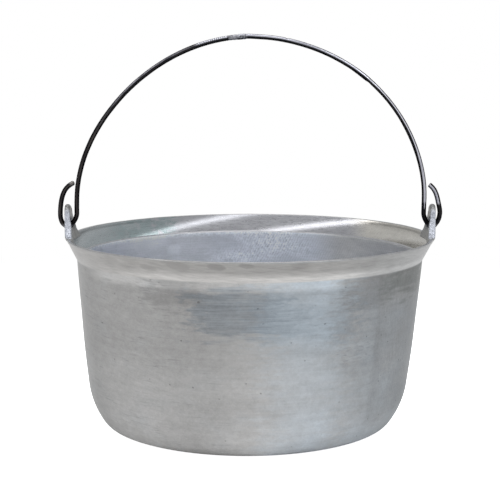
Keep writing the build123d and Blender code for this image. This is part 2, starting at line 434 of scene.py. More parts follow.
def ear_outline():
    """Closed outline, y and height above the rim: sides, a circular top and a foot in the lip."""
    side = spline(EAR_SIDE, (-1, 0.35), (-0.16, 1), 60)
    half, low = EAR_SIDE[-1]
    rise = EAR_TOP - low
    radius = (half**2 + rise**2) / (2 * rise)
    sweep = math.asin(min(1, half / radius))
    if rise >= radius:
        sweep = math.pi - sweep
    arc = [(radius * math.sin(a), EAR_TOP - radius + radius * math.cos(a))
           for a in np.linspace(sweep, -sweep, 30)]
    return np.array([tuple(p) for p in side[:-1]] + arc + [(-y, z) for y, z in side[::-1][1:]]
                    + [(-EAR_FOOT_Y, -5.5), (EAR_FOOT_Y, -5.5)])


ear_distance = DistanceTable(ear_outline(), (-36, -10), (36, 38))
pot_distance = DistanceTable(SECTION[::3], (150, H - 30), (178, H + 40))


def join(a, b, width):
    """Soft union with a fillet."""
    h = np.clip(0.5 + 0.5 * (b - a) / width, 0, 1)
    return b * (1 - h) + a * h - width * h * (1 - h)


def meet(a, b, radius):
    """Intersection with a rounded edge."""
    a, b = a + radius, b + radius
    outer = np.hypot(np.maximum(a, 0), np.maximum(b, 0))
    return np.minimum(np.maximum(a, b), 0) + outer - radius


def ear_field(p, seed, pits):
    """Signed distance of the ear at +X, blended into the lip, with as-cast skin."""
    x, y, z = p[:, 0], p[:, 1], p[:, 2] - H
    rho = np.hypot(x, y)
    lean = 0.8 * np.clip(z / 34, 0, 1.2)
    half_thick = 2.40 + 0.08 * smooth(z, 16, 29)
    # away from the hole the ear thickens toward the pot on its way down
    inward = 1.5 - 1.3 * smooth(z, 9, 20)
    inward = inward * smooth(rho, 171.0, 167.5) * smooth(np.abs(y), 8.5, 12.5)
    plate = np.abs(rho - (168.95 + lean)) - half_thick - 0.85 * inward
    # a hand-trimmed outline, never quite the same on both sides
    wobble = noise3(np.stack([y / 11, z / 9, np.full_like(y, seed)], 1), seed)
    edge = ear_distance(y, z) + 0.35 * wobble * smooth(z, 2, 8)
    hole = EAR_HOLE_R - 0.05 - np.hypot(y, z - EAR_HOLE_Z)
    # the outside of the foot tapers back into the collar
    under = 0.618 * (rho - 170.4) - 0.787 * (z + 1.2)
    d = meet(meet(plate, under, 1.0), edge, 1.25 + 0.9 * smooth(z, 20, 26))
    d = meet(d, hole, 1.2)
    # casting skin, strongest along the outline
    casting = 0.16 * noise3(p / 3.1, seed + 3) + 0.10 * noise3(p / 1.3, seed + 4)
    rough = smooth(edge, -2.6, -0.4) * smooth(z, 1.0, 7) * (1 - 0.6 * smooth(hole, -3, -0.5))
    d = d + casting * (0.22 + 0.78 * rough)
    for pit_y, pit_z, radius, depth in pits:
        d = d + depth * np.exp(-(((y - pit_y) ** 2 + (z - pit_z) ** 2) / radius**2))
    d = join(d, pot_distance(rho, p[:, 2]) + 0.05, 1.8 + 3.2 * smooth(rho, 169.5, 167.5))
    # the root ends inside the lip
    root = np.maximum(np.abs(y) - 29.5 - 0.4 * noise3(p / 5, 8),
                      np.maximum(-(z + 4.4), 163.6 - rho))
    return np.maximum(d, root)


def build_ear(name, node, sign, seed, pits):
    """One ear plate; sign is -1 on the left. Pits are y, height, radius and depth."""
    low, high = (159.5, -34.0, H - 6.0), (174.5, 34.0, H + EAR_TOP + 1.6)
    if sign < 0:
        low, high = (-high[0], *low[1:]), (-low[0], *high[1:])
    verts, quads = surface_net(lambda p: ear_field(p * (sign, 1, 1), seed, pits),
                               low, high, EAR_STEP)
    # rim: distance from the outline; rho: distance from the pot's axis
    x, y, z = verts.T
    ear = mesh_object(name, verts, quads, rim=ear_distance(y, z - H), rho=np.hypot(x, y))
    stand_for(ear, node, "kettle")


build_ear("ear_left", "lug_left", -1, 31, [(-24.6, 1.6, 1.4, 1.1), (-19, 7.8, 1.0, 0.3)])
build_ear("ear_right", "lug_right", 1, 57, [(-26.0, 0.2, 1.2, 0.9), (-22.0, 4.2, 0.9, 0.25)])


# ================================================================ bail
def rod_path(side, arch, bend, bottom, inward, outward, rise, tip_way):
    """Half the bail, as curves of (x, height above rim): the arch, the leg bend, the round bottom
    inside the ear and the return. side is -1 on the left; inward and outward are the bottom's
    radius and sweep in degrees on each side of x = bottom."""
    (r_in, sweep_in), (r_out, sweep_out) = inward, outward
    slope = (WELD_R[1] - WELD_L[1]) / (WELD_R[0] - WELD_L[0])

    def around_bottom(radius, degrees):
        a = math.radians(degrees)
        return (bottom + radius * math.sin(a), HINGE + radius * (1 - math.cos(a)))

    b_in = [around_bottom(r_in, -side * a) for a in np.linspace(sweep_in, 0, 9)]
    b_out = [around_bottom(r_out, side * a) for a in np.linspace(0, sweep_out, 9)]
    down = (side * math.cos(math.radians(sweep_in)), -math.sin(math.radians(sweep_in)))
    up = (side * math.cos(math.radians(sweep_out)), math.sin(math.radians(sweep_out)))
    return [
        spline(arch, (side, side * slope), (0, -1), 900),
        spline([arch[-1], *bend, b_in[0]], (0, -1), down, 60),
        np.array(b_in),
        np.array(b_out),
        spline([b_out[-1], *rise], up, tip_way, 180),
    ]


left_path = rod_path(
    -1,
    arch=[WELD_L, (-24.2, 181.3), (-44.5, 176.3), (-63.8, 168.7), (-82.1, 158.7), (-99.1, 146.6),
          (-114.7, 132.6), (-128.6, 116.8), (-140.6, 99.6), (-150.2, 81.1), (-157.0, 61.5),
          (-160.6, 41.0), (-161.2, 21.0)],
    bend=[(-161.6, 18.2), (-162.7, 15.3), (-164.6, 12.35)],
    bottom=-169.3, inward=(3.0, 53.13), outward=(4.4, 40.0),
    rise=[(-174.4, 11.3), (-175.7, 13.8), (-176.4, 16.8), (-176.6, 20.5), (-176.2, 27.0),
          (-175.2, 33.6), (-173.3, 39.5), (-170.3, 44.3), (-166.6, 47.5), (-163.0, 49.4)],
    tip_way=(1, 0.4),
)
right_path = rod_path(
    1,
    arch=[WELD_R, (4.0, 183.4), (21.7, 182.0), (42.8, 177.8), (63.3, 171.1), (82.8, 161.9),
          (100.9, 150.4), (117.1, 136.5), (131.3, 120.5), (143.1, 102.6), (152.3, 83.1),
          (158.7, 62.6), (161.6, 41.5), (161.5, 21.0)],
    bend=[(161.8, 18.4), (162.8, 15.5), (164.5, 12.4)],
    bottom=169.1, inward=(3.0, 53.13), outward=(3.6, 54.0),
    rise=[(174.0, 12.4), (175.4, 15.0), (176.3, 18.2), (176.6, 21.8), (175.8, 27.2), (174.5, 33.0),
          (172.8, 38.8), (170.2, 43.6), (166.1, 47.6)],
    tip_way=(-1, 0.75),
)
# the bead overlaps each rod a little
bead_path = [np.array([WELD_L, WELD_R]) + np.array([[-0.05, 0], [0.05, 0]])]


def build_tube(name, node, path, radius, tip=0, step=0.45, around=36):
    """A round wire along path in the XZ plane. radius(s, a, x, whole) is the radius at arc length s,
    angle a from the outer side and place x; tip is the length over which the far end rounds off."""
    c = resample(np.concatenate(path), step)
    way = np.gradient(c, axis=0)
    way /= np.hypot(*way.T)[:, None]
    normal = np.stack([-way[:, 1], way[:, 0]], 1)
    flip = np.sign((normal * (c - np.array([0, 30.0]))).sum(1))
    normal *= flip[len(flip) // 3]
    s = lengths(c)
    a = np.tile(np.arange(around) * 2 * math.pi / around, len(s))
    run, x, z, nx, nz = (np.repeat(v, around) for v in (s, *c.T, *normal.T))
    cap = np.ones(len(s))
    if tip > 0:
        q = np.clip(1 - (s[-1] - s) / tip, 0, 1)
        cap = np.sqrt(np.clip(1 - q**2, 0.0, 1))
    r = radius(run, a, x, s[-1]) * np.repeat(np.maximum(cap, 0.02), around)
    verts = np.stack([x + r * np.cos(a) * nx, r * np.sin(a), z + r * np.cos(a) * nz + H], 1)
    poles = [(c[0, 0], 0, c[0, 1] + H), (c[-1, 0], 0, c[-1, 1] + H)]
    quads, tris = capped_grid(len(s), around)
    # outward faces: the first quad's normal has to point away from the wire
    face_normal = np.cross(verts[1] - verts[0], verts[around] - verts[0])
    if face_normal @ (verts[0] - np.array(poles[0])) < 0:
        quads, tris = quads[:, ::-1], tris[:, ::-1]
    tube = mesh_object(name, np.r_[verts, poles], quads, tris,
                       out=np.r_[np.cos(a), 0, 0], side=np.r_[np.sin(a), 0, 0],
                       run=np.r_[run, 0, s[-1]], left=np.r_[s[-1] - run, s[-1], 0])
    stand_for(tube, node, "bail")


def wire_noise(s, a, length, turn, seed):
    """Noise on the wire's surface: cell length along it, and turn cells per radius round it."""
    return noise3(np.stack([s / length, np.cos(a) * turn, np.sin(a) * turn], 1), seed)


def skin(s, a, seed, amount):
    coarse = amount * wire_noise(s, a, 2.6, 1.4, seed)
    return coarse + 0.5 * amount * wire_noise(s, a, 0.9, 3, seed + 1)


def left_radius(s, a, x, whole):
    r = WIRE_R + skin(s, a, seed=71, amount=0.035)
    # drawn twist left in the rod beside the crown: about a dozen helical ribs
    ribs = smooth(x, -55, -48) * (1 - smooth(x, -22, -18.5))
    wave = np.sin(2 * math.pi * s / 1.95 - a)
    r = r + ribs * 0.13 * (np.sign(wave) * np.abs(wave) ** 0.7)
    # the weld's heat and spatter on the last few millimetres
    heat = smooth(x, -20.5, -17.5)
    r = r + heat * (0.06 + 0.13 * wire_noise(s, a, 1.5, 1.9, 77))
    # hammered flats
    flat = 0.07 * np.clip(wire_noise(s, a, 9, 1.1, 79), 0, 1)
    return r - flat * (1 - ribs)


def right_radius(s, a, x, whole):
    r = WIRE_R + skin(s, a, seed=91, amount=0.03)
    # thicker before the kink at x = 109 and thinner after it
    r = r + 0.14 * smooth(x, 92, 104) * (1 - smooth(x, 107.8, 110.0)) * (1.2 - np.cos(a))
    r = r - 0.16 * smooth(x, 108, 111) * (1 - smooth(x, 126, 150))
    pinch = np.exp(-(((x - 109.3) / 2.2) ** 2)) * (s < 190)
    r = r - 0.22 * pinch * np.clip(-np.cos(a), 0, 1)
    # small nick on top, right of the crown
    top = np.clip(np.cos(a) * 1.6 - 0.5, 0, 1)
    r = r - 0.42 * np.exp(-(((x - 33.6) / 1.0) ** 2)) * top * (s < 60)
    # hammered flats
    return r - 0.06 * np.clip(wire_noise(s, a, 10, 1.1, 99), 0, 1)


def bead_radius(s, a, x, whole):
    swell = 0.28 * np.sqrt(np.clip(np.sin(math.pi * s / whole), 0, 1))
    lump = wire_noise(s, a, 1.9, 1.6, 41)
    fine = wire_noise(s, a, 0.8, 3.2, 43)
    ripple = np.sin(2 * math.pi * s / 1.5 + 0.7 * np.cos(a))
    # a sharp step on the right-hand side, where the bead was never dressed
    step = 0.10 * smooth(s, whole - 2.2, whole - 1.0)
    return WIRE_R + 0.03 + swell + 0.13 * lump + 0.07 * fine + 0.05 * ripple + step


build_tube("bail_rod_left", "bail_wire_left", left_path, left_radius, tip=1.6)
build_tube("bail_rod_right", "bail_wire_right", right_path, right_radius, tip=0.5)
build_tube("weld_bead", "bail_weld", bead_path, bead_radius, step=0.3, around=40)


# ================================================================ node graphs
def operation(kind, swap=False):
    """A Value method that adds one Math node."""

    def method(self, other=0.0):
        pair = (other, self) if swap else (self, other)
        return self.graph.math(kind, *pair)

    return method


class Value:
    """A float in a node graph. Arithmetic on it adds Math nodes."""

    __add__ = operation("ADD")
    __radd__ = operation("ADD", swap=True)
    __sub__ = operation("SUBTRACT")
    __rsub__ = operation("SUBTRACT", swap=True)
    __mul__ = operation("MULTIPLY")
    __rmul__ = operation("MULTIPLY", swap=True)
    __truediv__ = operation("DIVIDE")
    abs = operation("ABSOLUTE")
    sin = operation("SINE")
    sqrt = operation("SQRT")
    max = operation("MAXIMUM")

    def __init__(self, graph, socket):
        self.graph, self.socket = graph, socket

    def __neg__(self):
        return self * -1.0

    def square(self):
        return self.graph.math("POWER", self, 2.0)

    def clamp(self):
        return self.graph.math("ADD", self, 0.0, clamp=True)

    def darken(self, mask):
        return self * (1 - mask)

    def lighten(self, mask):
        return self * (1 + mask)

    def ramp(self, start, end):
        """Smooth 0 to 1 as the value goes from start to end (end may be below start)."""
        inputs = {"Value": self, "From Min": start, "From Max": end}
        n = self.graph.node("ShaderNodeMapRange", inputs, interpolation_type="SMOOTHSTEP", clamp=True)
        return Value(self.graph, n.outputs["Result"])

    def bell(self, centre, inner, outer):
        """1 within inner of centre, smoothly 0 by outer."""
        return (self - centre).abs().ramp(outer, inner)


def lerp(mask, a, b):
    return a + mask * (b - a)


class Graph:
    """Builds one node material on a Principled shader. x, y and z are object millimetres."""

    def __init__(self, name):
        self.material = bpy.data.materials.new(name)
        self.material.use_nodes = True
        self.tree = self.material.node_tree
        self.tree.nodes.clear()
        self.out = self.node("ShaderNodeOutputMaterial")
        self.bsdf = self.node("ShaderNodeBsdfPrincipled")
        self.put(self.out.inputs[0], self.bsdf.outputs[0])
        place = self.scale_color(self.node("ShaderNodeTexCoord").outputs["Object"], 1 / MM)
        split = self.node("ShaderNodeSeparateXYZ", {0: place})
        self.x, self.y, self.z = (Value(self, split.outputs[i]) for i in range(3))

    def put(self, socket, value):
        """Links or sets one input."""
        if isinstance(value, Value):
            value = value.socket
        if isinstance(value, bpy.types.NodeSocket):
            self.tree.links.new(value, socket)
        elif isinstance(value, tuple) and socket.type == "RGBA":
            socket.default_value = (*value, 1)
        else:
            socket.default_value = value

    def node(self, kind, inputs=(), **props):
        n = self.tree.nodes.new(kind)
        for key, value in props.items():
            setattr(n, key, value)
        for key, value in dict(inputs).items():
            self.put(n.inputs[key], value)
        return n

    def math(self, kind, a, b=0.0, clamp=False):
        n = self.node("ShaderNodeMath", {0: a, 1: b}, operation=kind, use_clamp=clamp)
        return Value(self, n.outputs[0])

    def attribute(self, name):
        return Value(self, self.node("ShaderNodeAttribute", attribute_name=name).outputs["Fac"])

    def vector(self, x, y, z):
        return self.node("ShaderNodeCombineXYZ", {0: x, 1: y, 2: z}).outputs[0]

    def noise(self, vector, detail=3, rough=0.6):
        """Noise, about -1..1, one unit per cell of vector."""
        inputs = {"Vector": vector, "Scale": 1.0, "Detail": detail, "Roughness": rough}
        n = self.node("ShaderNodeTexNoise", inputs, noise_dimensions="3D", normalize=False)
        return Value(self, n.outputs[0])

    def patches(self, wide, high, detail=3, rough=0.6, level=None):
        """Noise in patches so many millimetres wide and high; level stands in for z."""
        level = self.z if level is None else level
        return self.noise(self.vector(self.x / wide, self.y / wide, level / high), detail, rough)

    def cells(self, vector):
        """Distance to the nearest of scattered points, and that cell's random value."""
        n = self.node("ShaderNodeTexVoronoi", {"Vector": vector, "Scale": 1.0}, feature="F1",
                      voronoi_dimensions="3D")
        split = self.node("ShaderNodeSeparateColor", {0: n.outputs["Color"]})
        return Value(self, n.outputs["Distance"]), Value(self, split.outputs[0])

    def mix(self, mask, a, b):
        """Blend of two colours."""
        inputs = {0: mask, 6: a, 7: b}
        return self.node("ShaderNodeMix", inputs, data_type="RGBA", clamp_factor=True).outputs[2]

    def scale_color(self, color, by):
        inputs = {0: color, "Scale": by}
        return self.node("ShaderNodeVectorMath", inputs, operation="SCALE").outputs[0]

    def bump(self, height_mm):
        inputs = {"Strength": 1.0, "Distance": MM, "Height": height_mm}
        return self.node("ShaderNodeBump", inputs).outputs[0]

    def set(self, **inputs):
        for key, value in inputs.items():
            self.put(self.bsdf.inputs[key.replace("_", " ")], value)


def display(r, g, b):
    """Display values 0-255 as linear light."""
    return tuple(((c / 255 + 0.055) / 1.055) ** 2.4 if c > 10 else c / 255 / 12.92
                 for c in (r, g, b))


# ================================================================ pot material
# Each zone function gives a colour, a roughness and a relief in millimetres. Angle masks are in
# degrees and height masks in millimetres; tones multiply a colour.
CONE_LEAN = 0.26        # how far the turned cone's normals lean round the pot

# broad stains on the outside: depth, then the centre, core and reach of the angle and the height
STAINS = ((0.12, (30, 3, 10), (125, 6, 22)),
          (0.20, (-24, 5, 13), (150, 7, 20)),
          (0.20, (38, 3, 13), (147, 8, 26)))

# dark scallops on the collar: angle, distance below the rim, half width, half height, depth
SCALLOPS = ((-21, 5.0, 11, 4.2, .16), (-9.5, 4.4, 8.5, 3.2, .24), (-1.0, 3.0, 7.0, 2.4, .26),
            (-31, 8.5, 9, 3, .12), (-45, 4.5, 9, 3.5, .10), (14, 4.0, 8, 3.0, .08),
            (37, 8.0, 10, 4, .08))


def pot_marks(g):
    """Places and patterns that several zones share."""
    x, y, z = g.x, g.y, g.z
    r = (x * x + y * y + 1e-4).sqrt()
    deg = g.math("ARCTAN2", x, -y) * 57.29578
    return SimpleNamespace(
        prof=g.attribute("prof"), ex=x / r, ey=y / r, deg=deg,
        front=deg.abs().ramp(165, 120),     # one-sided marks fade before the back, where deg wraps
        blot=g.patches(34, 21, rough=0.55),
        grain=g.patches(0.9, 0.8, detail=2),
        grit=g.patches(2.3, 1.9, rough=0.65),
        jag=g.patches(12, 3.0),
    )


def ripples(deg, count, *shifts):
    """Sine ripples, count to a turn, sheared by the shifts."""
    phase = deg * (count * math.pi / 180)
    for shift in shifts:
        phase = phase + shift
    return phase.sin()


def wall_patches(g, m, wide, dj, zj):
    """Masks of the outside wall: mottled, a patch of painted highlight from the key light, upright
    cross-brushing and a pale dab.
    """
    z, deg, jag = g.z, m.deg, m.jag
    mottled = dj.ramp(-22, -14) * dj.ramp(17, 5) * zj.ramp(106, 122) * zj.ramp(159, 146)
    lower = 0.8 * dj.ramp(-6, 6) * dj.ramp(24, 10) * zj.ramp(108, 118) * zj.ramp(146, 130)
    mottled = mottled.max(lower)
    # painted highlight: the key light's bluish reflection, running upright down the brushed wall
    painted_key_lobe = dj.ramp(-6, 16) * dj.ramp(42, 22)
    cross = (deg + 0.5 * jag).ramp(42.0, 46.0) * (z + 4 * jag).ramp(18, 34)
    cross = cross * (z + 6 * jag).ramp(168, 150)
    cross = cross * deg.ramp(96, 78)
    dab = (deg + 0.8 * jag).ramp(26.5, 28) * (deg + 0.3 * jag).ramp(44.3, 43.7)
    dab = dab * (z + 1.2 * jag).ramp(85, 88) * (z + 1.2 * jag).ramp(103.5, 100.5)
    # the back half gets both finishes in broad patches
    behind = deg.abs().ramp(88, 104)
    rough_back = (m.blot + 0.3 * jag).ramp(-0.5, 1.1) * behind * 0.55
    cross = cross.max((wide + 0.3 * jag).ramp(-0.5, 0.9) * behind * 0.6)
    return mottled.max(rough_back), painted_key_lobe, cross, dab, behind


def pot_outside(g, m):
    """The wall; also gives its anisotropy."""
    x, y, z, deg, blot, grit = g.x, g.y, g.z, m.deg, m.blot, m.grit
    wide = g.patches(80, 55, detail=1, rough=0.5)
    band = g.patches(75, 4.2)
    brush = g.patches(34, 0.85, rough=0.65)
    slant = g.patches(30, 1.25, level=z + 0.30 * x)
    upright = g.noise(g.vector(x / 1.5, y / 1.5, z / 26 + x / 60))
    # angle and height with ragged borders
    dj = deg + 7.0 * m.jag
    zj = z + 9.0 * g.patches(30, 5)
    mottled, painted_key_lobe, cross, dab, behind = wall_patches(g, m, wide, dj, zj)
    left_slant = deg.ramp(-22, -30) * m.front
    mid = g.patches(5.5, 4.2, rough=0.7)
    haze = g.patches(13, 9, rough=0.7)

    # brushing, then a painted highlight on the front and a band of painted highlight under the collar
    tone = 1.12 * (1 + 0.06 * wide + 0.07 * blot + 0.06 * band + 0.028 * brush * (1 - cross)
                   + 0.055 * haze + 0.05 * mid + 0.05 * slant * left_slant)
    tone = tone.lighten(0.16 * deg.bell(13, 5, 34))
    tone = tone.lighten(0.44 * z.bell(161, 4, 12) * deg.ramp(44, 24) * deg.ramp(-72, -48))
    tone = tone + cross * 0.07 * upright + 0.06 * grit + 0.055 * m.grain
    # dark strokes on the left
    stroke = g.patches(22, 1.1, detail=2, rough=0.5).ramp(0.33, 0.6)
    stroke = stroke * (blot + 0.3).ramp(0.1, 0.5) * deg.ramp(5, -20) * m.front
    tone = tone.darken(0.16 * stroke)
    tone = tone.darken(0.25 * mottled * (0.85 + 0.25 * grit + 0.6 * brush + 0.4 * band))
    # a little painted highlight where the key light reflects; darker cross-brushing, paler dab
    tone = tone.lighten(0.05 * painted_key_lobe).darken(0.15 * cross).lighten(0.07 * dab)
    for depth, angle, height in STAINS:
        tone = tone.darken(depth * dj.bell(*angle) * zj.bell(*height))
    tone = tone.darken(0.09 * deg.bell(37, 5, 13) * z.ramp(20, 70))
    # painted shade towards the sides, and a painted reflection of the white floor lighter towards the
    # base
    tone = tone.darken(0.20 * deg.abs().ramp(50, 68) * (1 - behind))
    tone = tone.lighten(0.34 * z.ramp(50, 10)).lighten(0.15 * z.ramp(100, 62))
    # painted shadow under the collar foot, at the right
    painted_collar_shadow = dj.bell(62, 10, 20) * zj.bell(151, 6, 20)
    tone = tone.darken(0.26 * painted_collar_shadow)
    # painted shade in the crease where the wall turns out into the collar
    painted_crease_shade = m.prof.bell((ZONE.foot + ZONE.collar) / 2, 1.0, 4.5)
    tone = tone.darken(0.10 * painted_crease_shade * (0.6 + 0.8 * deg.ramp(15, 50) * m.front))
    tone = tone.darken(0.03 * deg.ramp(-40, -62) * m.front)
    # short dark strokes over the pale dab
    tick = g.patches(7, 0.9, detail=1, rough=0.5).ramp(0.25, 0.5) * dab
    tone = tone.darken(0.14 * tick)
    # pits and dark specks
    d, pick = g.cells(g.vector(x / 9.5, y / 9.5, z / 9.5))
    pit = d.ramp(0.10, 0.045) * pick.ramp(0.45, 0.55)
    d, pick = g.cells(g.vector(x / 21 + 3, y / 21, z / 15))
    nick = d.ramp(0.075, 0.03) * pick.ramp(0.3, 0.4)
    tone = tone * (1 - 0.30 * pit - 0.35 * nick)

    # warm grey, bluish on the painted key-light highlight, the mottling and the right
    blue = ((0.75 * painted_key_lobe + 0.6 * mottled) * (0.5 + 0.5 * z.ramp(90, 112))
            + 0.18 * deg.ramp(0, 30) * m.front
            + 0.35 * deg.ramp(28, 46) * m.front * z.ramp(165, 120) - 0.1 * cross)
    blue = g.math("ADD", blue, 0.12 * blot, clamp=True)
    color = g.mix(blue, display(158, 157, 156), display(149, 157, 164))
    # the painted shadow under the collar is greenish
    color = g.mix(0.5 * painted_collar_shadow, color, display(140, 146, 144))

    rough = 0.44 + 0.05 * blot + 0.03 * band + 0.08 * mottled + 0.05 * cross - 0.05 * painted_key_lobe
    height = 0.009 * brush * (1 - cross) + 0.020 * upright * cross + 0.05 * band
    height = height + 0.020 * grit * (1 + 2 * mottled) + 0.012 * m.grain
    height = height - 0.35 * pit - 0.4 * nick + 0.02 * slant * left_slant
    return g.scale_color(color, tone), rough, height, 0.62 - 0.4 * mottled - 0.35 * cross


def pot_collar(g, m):
    """Hand-ground, beige grey, scalloped."""
    x, z, deg = g.x, g.z, m.deg
    scallop = g.patches(16, 2.1, level=z + 0.12 * x)
    file_marks = g.patches(24, 0.7, level=z - 0.1 * x)
    ground = (1 + 0.17 * scallop + 0.08 * file_marks + 0.03 * m.grain
              + 0.05 * g.patches(45, 30, detail=2, rough=0.5))
    dark = None
    for centre, drop, half_width, half_height, depth in SCALLOPS:
        across = (deg - centre) * 2.88      # degrees to millimetres
        q = (across / half_width).abs().square()
        q = q + ((H - z - drop - 0.10 * across + 0.5 * m.jag) / half_height).abs().square()
        arc = q.ramp(1.15, 0.55) * (depth * 0.8)
        dark = dark.max(arc) if dark else arc
    # painted highlight, lighter low down on the collar, most of all near the front
    painted_collar_light = 0.06 + 0.16 * deg.abs().ramp(62, 34) + 0.16 * deg.ramp(-10, 10) * m.front
    tone = 1.10 * (1 + painted_collar_light * (H - z).ramp(11.5, 15.5))
    tone = tone.lighten(0.24 * (H - z).ramp(8.5, 12.0) * deg.abs().ramp(48, 24))
    tone = (tone * ground).darken(0.85 * dark * (1 + 0.9 * scallop))
    color = g.mix(deg.ramp(10, 55) * m.front * 0.5, display(163, 161, 159), display(159, 161, 162))
    height = 0.05 * scallop + 0.02 * file_marks + 0.012 * m.grit
    return g.scale_color(color, tone), 0.42 + 0.06 * scallop, height


def pot_lip(g):
    """Thin ground edge."""
    tone = 1 + 0.15 * g.patches(5, 2, detail=2)
    height = 0.06 * g.patches(4, 3, detail=2)
    return g.scale_color(display(170, 170, 170), tone), 0.40, height


def pot_cone(g, m, down):
    """Inside of the collar, lathe turned. down is 0 at the lip and 1 at the seat."""
    x, y, z, deg, prof = g.x, g.y, g.z, m.deg, m.prof
    turn = g.noise(g.vector(m.ex * 5, m.ey * 5, prof / 0.55), rough=0.7)
    broad = g.noise(g.vector(m.ex * 9, m.ey * 9, prof / 9), detail=2)
    fleck = g.patches(7, 1.3, rough=0.65)
    green = g.noise(g.vector(x / 14, y / 14, z / 10 + 4), detail=2, rough=0.5).ramp(-0.7, -0.1)
    green = green * (x + 12 * fleck).ramp(-72, -88) * (x + 14 * fleck).ramp(-150, -116)
    sides = x.abs().ramp(96, 122)
    side_color = g.mix(x.ramp(-20, 20), display(160, 166, 168), display(178, 175, 169))
    color = g.mix(sides, display(164, 164, 168), side_color)
    color = g.mix(green * 0.75, color, display(138, 152, 153))
    # painted light and shade on the cone's sides: lighter lower down on the right, a darker ring just
    # under the lip
    shade = 0.24 * down.ramp(0.15, 0.45) * x.ramp(0, 20) - 0.30 * down.bell(0.13, 0.02, 0.09)
    color = g.scale_color(color, 1 + sides * shade)
    # fine hatching at the back right
    hatched = ripples(deg, 432, prof * 3.4) * x.ramp(60, 110) * y.ramp(0, 40)
    tone = 1 + 0.09 * turn + 0.05 * broad + 0.02 * m.grain + 0.09 * fleck + 0.06 * hatched
    hatch = ripples(deg, 133, prof * 1.6)
    hatch = hatch * g.patches(11, 9, detail=1, rough=0.5).ramp(0.15, 0.4)
    height = 0.006 * turn + 0.006 * hatch
    return g.scale_color(color, tone), 0.29 + 0.05 * turn + 0.04 * fleck, height


def pot_inner(g, m):
    """Inner wall and floor: concentric cuts, faint lilac."""
    x, z, prof = g.x, g.z, m.prof
    cut = g.noise(g.vector(m.ex * 4, m.ey * 4, prof / 0.65), rough=0.7)
    swirl = g.patches(15, 6)
    chatter = ripples(m.deg, 356, z * 1.1, 2.0 * swirl)
    tone = (1 + 0.09 * cut + 0.08 * swirl + 0.07 * m.grain + 0.05 * m.grit
            + 0.04 * chatter * x.ramp(-40, 30))
    spark = g.patches(3.2, 2.6, rough=0.75)
    # painted highlight with sparkle just under the seat
    tone = tone + (0.22 + 0.35 * spark) * prof.ramp(ZONE.inner + 5.5, ZONE.inner) * x.ramp(90, 30)
    # painted highlights and shade on the back wall, by x and depth below the rim
    zi = z - H
    back = g.y.ramp(0, 40)
    glints = (
        0.20 * x.ramp(-55, -105)
        + 0.14 * x.bell(-103, 6, 26) * zi.bell(-21, 5, 12)
        + (0.25 + 0.08 * chatter + 0.35 * spark)
        * (x + 1.2 * (zi + 26) + 14 * swirl).bell(24, 1, 52) * (zi + 4 * swirl).bell(-26, 3, 21)
        + (0.24 + 0.06 * chatter + 0.30 * spark)
        * (x + 14 * swirl).bell(-6, 1, 48) * (zi + 3 * swirl).bell(-42, 1, 13)
        + 0.20 * x.bell(-78, 3, 9) * zi.bell(-33, 3, 7)
        - 0.06 * x.bell(104, 16, 40)
    )
    tone = tone + back * glints
    warm = x.ramp(60, 100) * 0.9 * z.ramp(70, 120)
    lilac = g.mix(0.5 + 0.4 * swirl, display(215, 220, 228), display(212, 215, 224))
    color = g.mix(warm, lilac, display(214, 212, 209))
    color = g.scale_color(color, tone.darken(0.42 * z.ramp(26, 8)))
    rough = 0.36 + 0.05 * swirl + 0.16 * z.ramp(26, 8)
    return color, rough, 0.014 * cut + 0.05 * swirl * 0.3


def pot_material():
    g = Graph("pot_aluminium_skin")
    m = pot_marks(g)

    def zone(start, start_full, end, end_gone):
        return m.prof.ramp(start, start_full) * (1 - m.prof.ramp(end, end_gone))

    base = 1 - m.prof.ramp(ZONE.corner - 2, ZONE.corner + 6)
    collar = zone(ZONE.foot + 1, ZONE.collar + 1.2, ZONE.rim_outer - 0.4, ZONE.rim_outer + 0.4)
    lip = zone(ZONE.rim_outer - 0.2, ZONE.rim_outer + 0.5, ZONE.cone - 0.6, ZONE.cone + 0.2)
    cone = zone(ZONE.cone - 0.4, ZONE.cone + 0.2, ZONE.seat - 0.4, ZONE.seat + 0.1)
    seat = zone(ZONE.seat - 0.3, ZONE.seat + 0.1, ZONE.inner - 0.1, ZONE.inner + 0.6)
    inner = m.prof.ramp(ZONE.inner - 0.1, ZONE.inner + 0.5)
    down = (m.prof - ZONE.cone) * (1 / (ZONE.seat - ZONE.cone))

    color, rough, height, aniso = pot_outside(g, m)
    under = g.scale_color(display(150, 150, 150), 1 + 0.08 * m.blot + 0.05 * m.grit)
    for mask, zone_color, zone_rough, zone_height in (
        (collar, *pot_collar(g, m)),
        (base, under, None, None),
        (lip, *pot_lip(g)),
        (cone, *pot_cone(g, m, down)),
        (seat, display(186, 186, 189), 0.28, None),
        (inner, *pot_inner(g, m)),
    ):
        color = g.mix(mask, color, zone_color)
        if zone_rough is not None:
            rough = lerp(mask, rough, zone_rough)
        if zone_height is not None:
            height = lerp(mask, height, zone_height)

    # the turned cone's lay climbs as it goes round, so its highlights lean
    lean = (1 - 2 * down) * cone * CONE_LEAN
    sweep = g.vector(m.ey * lean, -(m.ex * lean), 0.0)
    leaned = g.node("ShaderNodeVectorMath", {0: g.bump(height), 1: sweep}, operation="ADD")
    normal = g.node("ShaderNodeVectorMath", {0: leaned.outputs[0]}, operation="NORMALIZE")
    tangent = g.node("ShaderNodeTangent", direction_type="RADIAL", axis="Z")
    aniso = lerp(cone, lerp(inner, aniso, 0.55), 0.45)
    g.set(Base_Color=color, Metallic=1.0, Roughness=rough.clamp(), Anisotropic=aniso.clamp(),
          Anisotropic_Rotation=0.25, Tangent=tangent.outputs[0], Normal=normal.outputs[0])
    return g.material


